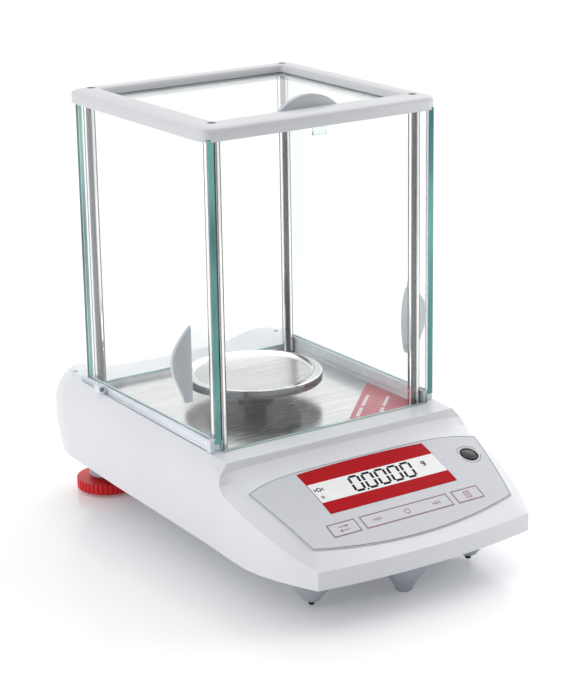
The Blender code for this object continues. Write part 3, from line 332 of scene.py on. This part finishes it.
def turned(name, profile, at, looks, sides, crease, body=BODY, axis="Z"):
    """A closed body turned from (radius, height) points, both ends on the axis."""
    bm = bmesh.new()
    rows = []
    for radius, height in profile:
        spots = ring_points(radius, sides) if radius else [(0.0, 0.0)]
        rows.append([bm.verts.new(mm(x, y, height)) for x, y in spots])
    for upper, lower in zip(rows, rows[1:]):
        for i in range(sides):
            j = (i + 1) % sides
            quad = (upper[i % len(upper)], upper[j % len(upper)])
            quad += (lower[j % len(lower)], lower[i % len(lower)])
            corners = list(dict.fromkeys(quad))
            if len(corners) > 2:
                bm.faces.new(corners)
    if axis == "Y":
        bm.transform(Matrix.Rotation(-math.pi / 2, 4, "X"))
    bm.transform(Matrix.Translation(mm(*at)))
    return piece(name, bm, looks, body, crease)


# ---------------------------------------------------------------- CAD nodes

WELD_REACH = 0.00001
DRESSING = (
    ("upper_housing", SHELL, 24.0),
    ("top_frame", RING, 40.0),
    ("lower_housing front_foot", TRAY, 40.0),
    ("control_panel", FILM, 30.0),
    ("display_window", BAND_RED, 30.0),
    ("key_unit key_zero key_print", FILM_KEY, 30.0),
    ("lcd_module", LCD_FACE, 30.0),
    ("control_board main_board", BOARD, 30.0),
    ("level_vial_cup", BLACK, 40.0),
    ("level_vial_lens", VIAL_GLASS, 40.0),
    ("top_door_stop", CLEAR, 30.0),
    ("magnet_pot data_port foot_stem_left foot_stem_right", STEEL, 35.0),
    ("floor_plate", FLOOR_STEEL, 35.0),
    # The parts under the pan take the near-black metal: painted shade.
    ("pan_support load_receptor floor_collar", PAINTED_SHADE_CARRIER, 35.0),
    ("weighing_cell cell_base", ALUMINIUM, 35.0),
    ("left_door_handle right_door_handle top_door_handle", HANDLE, 40.0),
    ("left_rail right_rail left_rail_clip", RAIL, 35.0),
    ("foot_wheel_left foot_wheel_right", WHEEL_RED, 25.0),
    ("foot_pad_left foot_pad_right safety_pin_left safety_pin_right", RUBBER, 35.0),
    ("power_module power_jack hook_cover", BLACK, 35.0),
)


def dress(names, look, crease):
    """Gives CAD nodes a look; modifiers alone split their shading at the creases."""
    for name in names.split():
        made = frame["nodes"][name]
        mesh = made.data
        mesh.materials.clear()
        mesh.materials.append(look)
        custom = mesh.attributes.get("custom_normal")
        if custom:
            mesh.attributes.remove(custom)
        mesh.shade_smooth()
        weld = made.modifiers.new("weld", "WELD")
        weld.merge_threshold = WELD_REACH
        split = made.modifiers.new("creases", "EDGE_SPLIT")
        split.split_angle = math.radians(crease)
        split.use_edge_sharp = False


for names, look, crease in DRESSING:
    dress(names, look, crease)
for corner in ("front_left", "front_right", "rear_left", "rear_right"):
    dress(f"post_{corner}", chrome(f"chrome_{corner}", f"post_{corner}"), 40.0)
    dress(f"housing_screw_{corner}", STEEL, 35.0)
    dress(f"frame_screw_{corner}", SCREW_DARK, 35.0)

# ---------------------------------------------------------------- glass panes

PANE_ARRIS = 0.35
ACROSS_X, ACROSS_Y, ACROSS_Z = 0, 1, 2
FACE_LOOK, EDGE_LOOK, FOOT_LOOK = 0, 1, 2


def pane_look(normal, across, clear_ends):
    """Clear faces, deep upright edges and pale upper and lower edges."""
    upright = abs(normal.z) < 0.7
    if abs(normal[across]) > 0.999 or (upright and clear_ends):
        return FACE_LOOK
    return EDGE_LOOK if upright else FOOT_LOOK


def pane(node, body, across, clear_ends=False):
    """A pane in place of its CAD node, with polished, slightly rounded edges."""
    low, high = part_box(node)
    size = high - low
    middle = (high + low) / 2
    bm = bmesh.new()
    for vertex in bmesh.ops.create_cube(bm, size=1.0)["verts"]:
        vertex.co = Vector([c * s + m for c, s, m in zip(vertex.co, size, middle)])
    bmesh.ops.bevel(
        bm, geom=bm.edges[:], offset=PANE_ARRIS * MM, segments=2, affect="EDGES", profile=0.6
    )
    bm.normal_update()
    for face in bm.faces:
        face.material_index = pane_look(face.normal, across, clear_ends)
    made = piece(f"{node}_pane", bm, (PANE, PANE_EDGE, PANE_FOOT), body)
    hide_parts(node)


pane("front_glass", BODY, ACROSS_Y, clear_ends=True)
pane("rear_glass", BODY, ACROSS_Y)
pane("left_door_glass", "left_door", ACROSS_X)
pane("right_door_glass", "right_door", ACROSS_X)
pane("top_door_glass", "top_door", ACROSS_Z)

# ---------------------------------------------------------------- pan

PAN_SIDES = 160
DISC_EDGE = 37.9
DISC_LOOK, RIM_LOOK, PAINTED_SHADE_LOOK = 0, 1, 2
# (radius, height over the rim's top): disc, dished rim, skirt, and back underneath.
PAN_PROFILE = (
    (0.0, -1.5),
    (37.3, -1.5),
    (37.7, -1.42),
    (38.4, -0.95),
    (39.0, -0.75),
    (43.4, -0.1),
    (44.0, 0.0),
    (44.55, -0.1),
    (44.9, -0.45),
    (45.0, -0.9),
    (45.0, -5.6),
    (44.8, -5.95),
    (44.3, -5.95),
    (44.1, -5.6),
    (44.1, -1.6),
    (43.6, -1.1),
    (38.6, -1.9),
    (37.6, -2.5),
    (0.0, -2.5),
)


def pan_look(face, middle):
    # Sideways and downward faces take the dark copy: painted shade and painted dark reflection.
    if abs(face.normal.z) < 0.5 or face.normal.z < 0.0:
        return PAINTED_SHADE_LOOK
    reach = math.hypot(face.center.x / MM - middle.x, face.center.y / MM - middle.y)
    return RIM_LOOK if reach > DISC_EDGE else DISC_LOOK


def pan_dish():
    low, high = (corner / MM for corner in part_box("pan"))
    middle = (low + high) / 2
    profile = [(radius, high.z + height) for radius, height in PAN_PROFILE]
    at = (middle.x, middle.y, 0.0)
    looks = (PAN_STEEL, RIM_STEEL, PAINTED_SHADE_STEEL)
    dish = turned(
        "pan_dish", profile, at, looks, PAN_SIDES, 24.0, "weighing_pan"
    )
    for face in dish.data.polygons:
        face.material_index = pan_look(face, middle)
    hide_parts("pan")


pan_dish()

# ---------------------------------------------------------------- panel print

PANEL_R = 382.0
PANEL_ARC = (30.4, -292.7)
INK_THICK = 0.03
FILM_LIFT = 0.04
INK_LIFT = 0.14
FIELD_LIFT = INK_LIFT - 0.01
DIGIT_LIFT = INK_LIFT + 0.03
LINE_STEP = 3.0
DIGIT_LINE_STEP = 2.5


def panel_point(x, y, lift):
    """A point over the panel's arc, lifted square to its surface."""
    reach = PANEL_ARC[0] - y
    height = math.sqrt(PANEL_R**2 - reach**2)
    return mm(x, y - lift * reach / PANEL_R, PANEL_ARC[1] + height + lift * height / PANEL_R)


def ink_area(bm, rows, lift, closed=False):
    """A printed area from rows of (x, y) points, all rows of one length; or a loop of them."""
    upper = [[bm.verts.new(panel_point(x, y, lift)) for x, y in row] for row in rows]
    lower = [[bm.verts.new(panel_point(x, y, lift - INK_THICK)) for x, y in row] for row in rows]
    count = len(rows[0])
    last = len(rows) - 1
    for r in range(last + 1 if closed else last):
        n = (r + 1) % len(rows)
        for c in range(count - 1):
            bm.faces.new((upper[r][c], upper[r][c + 1], upper[n][c + 1], upper[n][c]))
            bm.faces.new((lower[r][c], lower[n][c], lower[n][c + 1], lower[r][c + 1]))
        for c in (0, count - 1):
            bm.faces.new((upper[r][c], lower[r][c], lower[n][c], upper[n][c]))
    for r in () if closed else (0, last):
        for c in range(count - 1):
            bm.faces.new((upper[r][c], upper[r][c + 1], lower[r][c + 1], lower[r][c]))


def ink_stroke(bm, points, width, lift, closed=False):
    """A printed line of even width along (x, y) points."""
    path = [Vector(point) for point in points]
    if closed:
        path.append(path[0])
    last = len(path) - 1
    rows = []
    for i, spot in enumerate(path):
        ways = []
        if i or closed:
            ways.append((spot - path[i - 1 if i else -2]).normalized())
        if i < last or closed:
            ways.append((path[i + 1 if i < last else 1] - spot).normalized())
        way = sum(ways, Vector((0.0, 0.0)))
        way = way.normalized() if way.length > 1e-6 else ways[0]
        side = Vector((-way.y, way.x))
        grow = 1.0 / max(abs(side.dot(Vector((-ways[0].y, ways[0].x)))), 0.5)
        edge = side * width / 2 * grow
        rows.append([tuple(spot + edge), tuple(spot - edge)])
    ink_area(bm, rows[:-1] if closed else rows, lift, closed)


def even_steps(points, step, closed):
    """Adds points so that long straight runs follow the panel's arc."""
    path = list(points) + ([points[0]] if closed else [])
    made = []
    for a, b in zip(path, path[1:]):
        count = max(1, int(math.dist(a, b) / step))
        shares = [i / count for i in range(count)]
        made += [(between(a[0], b[0], share), between(a[1], b[1], share)) for share in shares]
    return made if closed else made + [path[-1]]


def rectangle(xs, ys):
    return [(xs[0], ys[0]), (xs[1], ys[0]), (xs[1], ys[1]), (xs[0], ys[1])]


def closed_line(name, points, width, look, body, lift):
    bm = bmesh.new()
    ink_stroke(bm, even_steps(points, LINE_STEP, True), width, lift, True)
    piece(name, bm, (look,), body)


REAR_HALF, FRONT_HALF = 86.7, 75.3
REAR_MIDDLE, REAR_CORNER = -81.3, -90.0
FRONT_MIDDLE, FRONT_CORNER = -150.0, -141.5
SIDE_START = -89.7
SIDE_STOPS = (-100.0, -111.0, -121.5, -132.0)
BORDER_STEPS = 24
BORDER_MARGIN = 0.3


def panel_border():
    """The thin line printed round the film, just inside its edge."""
    rear, front, side = [], [], []
    for i in range(BORDER_STEPS + 1):
        share = 2 * i / BORDER_STEPS - 1
        rear_y = between(REAR_MIDDLE, REAR_CORNER, abs(share) ** 4.5)
        front_y = between(FRONT_MIDDLE, FRONT_CORNER, share**2)
        rear.append((share * (REAR_HALF - BORDER_MARGIN), rear_y - BORDER_MARGIN))
        front.append((share * (FRONT_HALF - BORDER_MARGIN), front_y + BORDER_MARGIN))
    for y in SIDE_STOPS:
        share = (y - SIDE_START) / (FRONT_CORNER - SIDE_START)
        side.append((between(REAR_HALF, FRONT_HALF, share**1.1) - BORDER_MARGIN, y))
    return rear + side + front[::-1] + [(-x, y) for x, y in side[::-1]]


closed_line("panel_outline", panel_border(), 0.34, LINE_GREY, BODY, FILM_LIFT)

# ---------------------------------------------------------------- display

LCD_HALF = 47.95
LCD_BAND = (-95.4, -111.8)
LCD_ROWS, LCD_CELLS = 9, 13


def display_field():
    rows = []
    for r in range(LCD_ROWS):
        y = between(*LCD_BAND, r / (LCD_ROWS - 1))
        shares = [c / (LCD_CELLS - 1) for c in range(LCD_CELLS)]
        rows.append([(between(-LCD_HALF, LCD_HALF, share), y) for share in shares])
    bm = bmesh.new()
    ink_area(bm, rows, FIELD_LIFT)
    piece("lcd_field", bm, (LCD_FACE,), BODY)


display_field()

DIGITS = 5
DIGIT_WIDE = 6.6
DIGIT_TALL = 12.2
DIGIT_STEP = 9.85
DIGIT_START = -20.6
DIGIT_FOOT = -109.6
DIGIT_LINE = 1.75
SLANT = 0.14
STROKE_GAP = 0.55
ZERO_STROKES = (
    ((0, 2), (1, 2)),
    ((1, 2), (1, 1)),
    ((1, 1), (1, 0)),
    ((0, 0), (1, 0)),
    ((0, 1), (0, 0)),
    ((0, 2), (0, 1)),
)
POINT_SIZE = 1.35
POINT_START = DIGIT_START + DIGIT_WIDE + 0.95
POINT_LEAN = 0.15
UNIT_AT = (36.2, -101.0)
UNIT_TAIL = ((1.3, 1.3), (1.2, -1.6), (0.4, -2.5), (-1.0, -2.4))
ZERO_AT = (-43.2, -101.2)
STABLE_AT = (-44.4, -107.6)


def zero_digit(bm, x):
    """The six lit strokes of a seven-segment nought whose lower left corner is at x."""
    for (x0, row0), (x1, row1) in ZERO_STROKES:
        start = Vector((x0 * DIGIT_WIDE, row0 * DIGIT_TALL / 2))
        end = Vector((x1 * DIGIT_WIDE, row1 * DIGIT_TALL / 2))
        gap = (end - start).normalized() * STROKE_GAP
        spots = (start + gap, end - gap)
        points = [(x + spot.x + spot.y * SLANT, DIGIT_FOOT + spot.y) for spot in spots]
        ink_stroke(bm, even_steps(points, DIGIT_LINE_STEP, False), DIGIT_LINE, DIGIT_LIFT)


def centred_zero(bm, middle, radius, tip, back, rise, ring_line, line, lift, sides=12):
    """A ring between two arrow heads that point at it."""
    ink_stroke(bm, ring_points(radius, sides, middle), ring_line, lift, True)
    for side in (-1, 1):
        near = middle[0] + side * tip
        far = middle[0] + side * back
        mark = [(far, middle[1] + rise), (near, middle[1]), (far, middle[1] - rise)]
        ink_stroke(bm, mark, line, lift)


def display_digits():
    bm = bmesh.new()
    for index in range(DIGITS):
        zero_digit(bm, DIGIT_START + index * DIGIT_STEP)
    foot = DIGIT_FOOT - POINT_SIZE
    point = [
        [(POINT_START, foot), (POINT_START + POINT_SIZE, foot)],
        [
            (POINT_START + POINT_LEAN, DIGIT_FOOT),
            (POINT_START + POINT_LEAN + POINT_SIZE, DIGIT_FOOT),
        ],
    ]
    ink_area(bm, point, DIGIT_LIFT)
    ink_stroke(bm, ring_points(1.0, 12, UNIT_AT), 0.85, DIGIT_LIFT, True)
    tail = [(UNIT_AT[0] + x, UNIT_AT[1] + y) for x, y in UNIT_TAIL]
    ink_stroke(bm, tail, 0.8, DIGIT_LIFT)
    centred_zero(bm, ZERO_AT, 1.35, 2.1, 3.5, 1.0, 0.7, 0.6, DIGIT_LIFT, 14)
    ink_stroke(bm, ring_points(1.0, 12, STABLE_AT), 0.35, DIGIT_LIFT, True)
    ink_stroke(bm, ring_points(0.35, 8, STABLE_AT), 0.35, DIGIT_LIFT, True)
    piece("lcd_digits", bm, (INK,), BODY)


display_digits()

# ---------------------------------------------------------------- keys

KEY_ROW = (-128.5, -137.8)
KEY_MIDDLE = (KEY_ROW[0] + KEY_ROW[1]) / 2
KEY_MARGIN = 0.35
UNIT_XS, ZERO_XS, PRINT_XS = (-57.0, -36.9), (-32.9, 32.9), (36.9, 57.0)
KEYS = (
    ("key_unit", "unit_key", UNIT_XS),
    ("key_zero", "zero_key", ZERO_XS),
    ("key_print", "print_key", PRINT_XS),
)
RE_ZERO_OUT = 22.5


def zero_key_marks():
    """A power ring in the middle and a centred nought on either side."""
    bm = bmesh.new()
    ink_stroke(bm, arc_points((0.0, KEY_MIDDLE), 1.9, 125.0, 415.0, 16), 0.42, INK_LIFT)
    ink_stroke(bm, [(0.0, KEY_MIDDLE + 0.3), (0.0, KEY_MIDDLE + 2.3)], 0.42, INK_LIFT)
    for x in (-RE_ZERO_OUT, RE_ZERO_OUT):
        centred_zero(bm, (x, KEY_MIDDLE), 0.95, 1.8, 3.0, 0.9, 0.4, 0.38, INK_LIFT)
    piece("zero_key_marks", bm, (LINE_RED,), "zero_key")


def unit_key_marks():
    """Two arrows, one each way."""
    bm = bmesh.new()
    x = sum(UNIT_XS) / 2
    for rise, way in ((1.4, 1), (-1.4, -1)):
        y = KEY_MIDDLE + rise
        ink_stroke(bm, [(x - 3.2, y), (x + 3.2, y)], 0.42, INK_LIFT)
        tip = x + way * 3.4
        barb = tip - way * 1.3
        ink_stroke(bm, [(barb, y + 0.9), (tip, y), (barb, y - 0.9)], 0.38, INK_LIFT)
    piece("unit_key_marks", bm, (LINE_RED,), "unit_key")


def print_key_marks():
    """A page with three lines on it."""
    bm = bmesh.new()
    x = sum(PRINT_XS) / 2
    page = rectangle((x - 1.9, x + 1.9), (KEY_MIDDLE - 2.3, KEY_MIDDLE + 2.3))
    ink_stroke(bm, page, 0.4, INK_LIFT, True)
    for rise in (-1.0, 0.1, 1.2):
        y = KEY_MIDDLE + rise
        ink_stroke(bm, [(x - 1.0, y), (x + 1.0, y)], 0.32, INK_LIFT)
    piece("print_key_marks", bm, (LINE_RED,), "print_key")


for node, body, xs in KEYS:
    inner = rectangle(
        (xs[0] + KEY_MARGIN, xs[1] - KEY_MARGIN), (KEY_ROW[1] + KEY_MARGIN, KEY_ROW[0] - KEY_MARGIN)
    )
    closed_line(f"{node}_outline", inner, 0.42, LINE_RED, body, INK_LIFT)
zero_key_marks()
unit_key_marks()
print_key_marks()

VIAL_AT = (71.5, -103.7)
VIAL_RING = 7.6


def vial_ring():
    """A fine circle round the level vial, open at its left and right."""
    bm = bmesh.new()
    for start, end in ((18.0, 162.0), (198.0, 342.0)):
        ink_stroke(bm, arc_points(VIAL_AT, VIAL_RING, start, end, 18), 0.32, FILM_LIFT)
    piece("vial_ring", bm, (LINE_GREY,), BODY)


vial_ring()

# ---------------------------------------------------------------- floor label

FLOOR_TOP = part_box("floor_plate")[1].z / MM
LABEL_LOW, LABEL_HIGH = 0.02, 0.14
DASH_LOW, DASH_HIGH = 0.12, 0.19
DASH_HALF = 1.15
LABEL_CORNERS = ((17.8, -43.9), (77.4, -43.9), (77.4, 16.5))
LABEL_DASHES = (
    ((31.0, -37.0), (43.5, -24.5)),
    ((46.0, -22.0), (62.0, -6.0)),
    ((47.5, -40.0), (55.0, -32.5)),
    ((57.5, -30.0), (71.0, -16.5)),
)


def floor_print(bm, outline, low, high):
    """A thin closed plate over the floor from an outline of (x, y) points."""
    lower = [bm.verts.new(mm(x, y, FLOOR_TOP + low)) for x, y in outline]
    upper = [bm.verts.new(mm(x, y, FLOOR_TOP + high)) for x, y in outline]
    bm.faces.new(upper)
    bm.faces.new(lower[::-1])
    for i in range(len(outline)):
        j = (i + 1) % len(outline)
        bm.faces.new((lower[i], lower[j], upper[j], upper[i]))


def floor_label():
    """A plain red corner label with white dashes."""
    bm = bmesh.new()
    floor_print(bm, LABEL_CORNERS, LABEL_LOW, LABEL_HIGH)
    piece("corner_label", bm, (LABEL_RED,), BODY)
    bm = bmesh.new()
    for start, end in LABEL_DASHES:
        along = (Vector(end) - Vector(start)).normalized()
        side = Vector((along.y, -along.x)) * DASH_HALF
        ends = ((start, 1), (end, 1), (end, -1), (start, -1))
        outline = [Vector(at) + side * way for at, way in ends]
        floor_print(bm, outline, DASH_LOW, DASH_HIGH)
    piece("label_lines", bm, (LABEL_WHITE,), BODY)


floor_label()

# ---------------------------------------------------------------- rear sockets

PIN_PITCH = 2.77
PIN_ROWS = (("upper", 1.4, 5), ("lower", -1.4, 4))
NUT_OUT = 20.0
# (radius, distance behind the origin) from the outer end inwards.
PORT_PIN = ((0.0, 158.6), (0.3, 158.5), (0.5, 158.1), (0.5, 150.6), (0.0, 150.6))
JACK_PIN = ((0.0, 158.4), (0.5, 158.3), (0.9, 157.8), (0.9, 150.6), (0.0, 150.6))
PORT_NUT = ((0.0, 159.7), (2.6, 159.7), (2.9, 159.4), (2.9, 158.9), (0.0, 158.9))


def socket_part(name, profile, x, z, look, sides, crease):
    turned(name, profile, (x, 0.0, z), (look,), sides, crease, axis="Y")


def port_details():
    """The pins inside the two sockets and the hexagon nuts beside the data port."""
    low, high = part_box("data_port")
    port = (low + high) / 2 / MM
    for row, rise, count in PIN_ROWS:
        for index in range(count):
            x = port.x + (index - (count - 1) / 2) * PIN_PITCH
            socket_part(f"port_pin_{row}_{index}", PORT_PIN, x, port.z + rise, BRASS, 12, 40.0)
    low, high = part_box("power_jack")
    jack = (low + high) / 2 / MM
    socket_part("jack_pin", JACK_PIN, jack.x, jack.z, BRASS, 16, 40.0)
    for name, out in (("port_nut_left", -NUT_OUT), ("port_nut_right", NUT_OUT)):
        socket_part(name, PORT_NUT, port.x + out, port.z, STEEL, 6, 30.0)


port_details()

# ---------------------------------------------------------------- stage, light and camera

FLOOR_HALF = 14.0
FLOOR_DROP = 0.0004
FLOOR_GLOW = 0.12
WORLD_FRONT, WORLD_REAR = 0.17, 1.0
WORLD_SPAN = (-1.0, 0.2)
SKY_WAY = (0.8, 0.35, 1.1)
SKY_STRENGTH = 0.85
SKY_SPREAD = 70.0
OBJECT_MIDDLE = (0.0, 0.0, 0.14)
PHOTO_ANGLES = (-33.73, 17.07, -0.91)
PHOTO_PLACE = (-0.7200, -1.0861, 0.5303)
SENSOR = 36.0
LENS = 112.05


def stage_floor():
    bm = bmesh.new()
    bmesh.ops.create_grid(bm, x_segments=2, y_segments=2, size=FLOOR_HALF)
    mesh = bpy.data.meshes.new("stage_floor")
    bm.to_mesh(mesh)
    bm.free()
    made = bpy.data.objects.new("stage_floor", mesh)
    made.location = (0.0, 0.0, -FLOOR_DROP)
    SCENE.collection.objects.link(made)
    look = Look("stage_white", (0.93, 0.93, 0.935), 0.17, Specular_IOR_Level=0.42)
    look.shader.inputs["Emission Color"].default_value = (*WHITE, 1.0)
    look.shader.inputs["Emission Strength"].default_value = FLOOR_GLOW
    look.vary_rough(look.noise(6.0), 0.02)
    mesh.materials.append(look.made)


def world():
    """Even studio light that is dimmer from the front than from the rear."""
    made = bpy.data.worlds.new("studio")
    made.use_nodes = True
    tree = made.node_tree
    background = tree.nodes["Background"]
    background.inputs["Color"].default_value = (*WHITE, 1.0)
    way = tree.nodes.new("ShaderNodeTexCoord")
    split = tree.nodes.new("ShaderNodeSeparateXYZ")
    level = tree.nodes.new("ShaderNodeMapRange")
    level.interpolation_type = "SMOOTHSTEP"
    level.inputs["From Min"].default_value = WORLD_SPAN[0]
    level.inputs["From Max"].default_value = WORLD_SPAN[1]
    level.inputs["To Min"].default_value = WORLD_FRONT
    level.inputs["To Max"].default_value = WORLD_REAR
    tree.links.new(way.outputs["Generated"], split.inputs["Vector"])
    tree.links.new(split.outputs["Y"], level.inputs["Value"])
    tree.links.new(level.outputs["Result"], background.inputs["Strength"])
    SCENE.world = made


def hang(name, data, way):
    """Adds a light that shines along a direction."""
    made = bpy.data.objects.new(name, data)
    made.rotation_euler = Vector(way).to_track_quat("-Z", "Y").to_euler()
    SCENE.collection.objects.link(made)
    return made


def sky_light():
    """A very broad, even light, so that the floor is equally bright to its far end."""
    data = bpy.data.lights.new("sky_light", "SUN")
    data.energy = SKY_STRENGTH
    data.angle = math.radians(SKY_SPREAD)
    hang("sky_light", data, -Vector(SKY_WAY))


def soft_light(name, at, size, power, aim=OBJECT_MIDDLE):
    data = bpy.data.lights.new(name, "AREA")
    data.shape = "RECTANGLE"
    data.size, data.size_y = size
    data.energy = power
    hang(name, data, Vector(aim) - Vector(at)).location = at


def camera():
    """The photo's view: angles round the object, and a roll about the line of sight."""
    azimuth, elevation, roll = (math.radians(angle) for angle in PHOTO_ANGLES)
    back = Vector(
        (
            math.sin(azimuth) * math.cos(elevation),
            -math.cos(azimuth) * math.cos(elevation),
            math.sin(elevation),
        )
    )
    right = (-back).cross(Vector((0.0, 0.0, 1.0))).normalized()
    up = right.cross(-back)
    across = math.cos(roll) * right + math.sin(roll) * up
    above = -math.sin(roll) * right + math.cos(roll) * up
    data = bpy.data.cameras.new("camera")
    data.sensor_fit = "AUTO"
    data.sensor_width = SENSOR
    data.lens = LENS
    made = bpy.data.objects.new("camera", data)
    turn = Matrix((across, above, back)).transposed().to_4x4()
    made.matrix_world = Matrix.Translation(PHOTO_PLACE) @ turn
    SCENE.collection.objects.link(made)
    SCENE.camera = made


stage_floor()
world()
sky_light()
soft_light("left_box", (-2.6, 0.2, 0.8), (2.2, 1.6), 13.0)
soft_light("right_box", (0.62, -0.42, 0.32), (0.35, 0.35), 1.3, aim=(0.08, -0.15, 0.05))
camera()
SCENE.view_settings.view_transform = "Standard"
